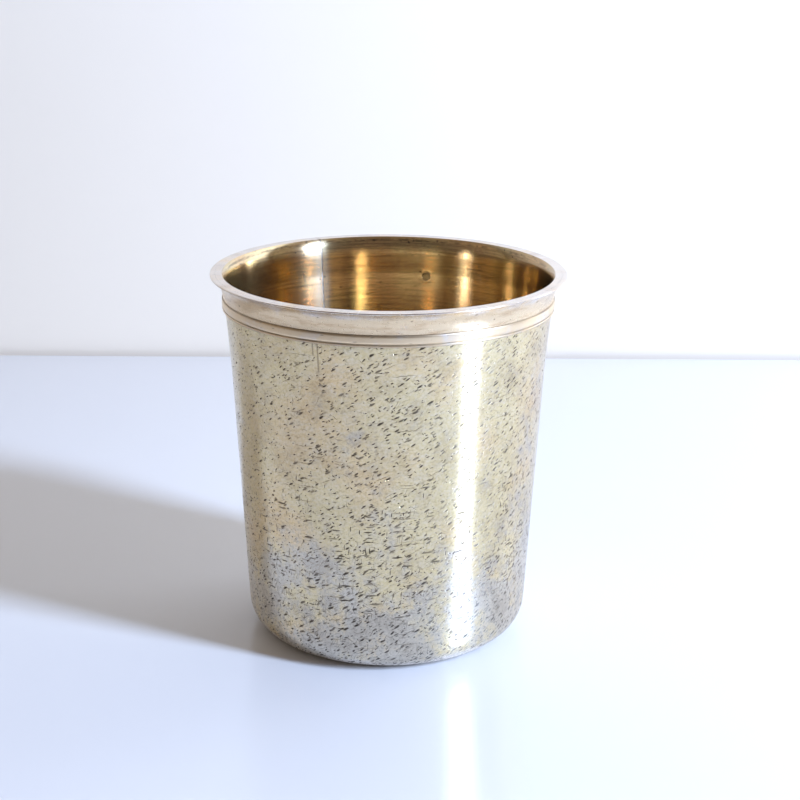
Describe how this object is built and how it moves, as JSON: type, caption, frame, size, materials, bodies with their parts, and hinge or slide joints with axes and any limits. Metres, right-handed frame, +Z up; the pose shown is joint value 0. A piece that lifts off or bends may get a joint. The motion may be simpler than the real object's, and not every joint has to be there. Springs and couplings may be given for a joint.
{
  "type": "shot beaker",
  "caption": "Small tapered round metal beaker for a shot of spirit, with a flared hollow-curved lip, a reeded band under it and a soft-cornered foot.",
  "frame": {"origin": "centre of the beaker's axis at the plane it stands on", "axes": "+Z up along the beaker's axis, out of the mouth; -Y the front, with the wall seam at the back left"},
  "size_m": [0.0472, 0.0472, 0.05],
  "materials": {
    "worn_gilt_wall": "old gilding worn thin over silver, satin, with dark pits and scratches outside and a deeper gold inside",
    "worn_gilt_base": "gilded silver, satin, scratched and rubbed to silver underneath",
    "worn_gilt_band": "gilded silver, semi-bright, tarnish kept in the grooves",
    "worn_gilt_lip": "gilded silver, polished by use, worn to silver along the top edge",
    "silver_solder": "silver solder, filed flush, satin"
  },
  "bodies": {
    "root": {"wall_sheet": "worn_gilt_wall", "wall_seam_solder": "silver_solder", "base_disc": "worn_gilt_base", "base_solder_fillet": "silver_solder", "reeded_band": "worn_gilt_band", "lip_moulding": "worn_gilt_lip"}
  },
  "joints": []
}
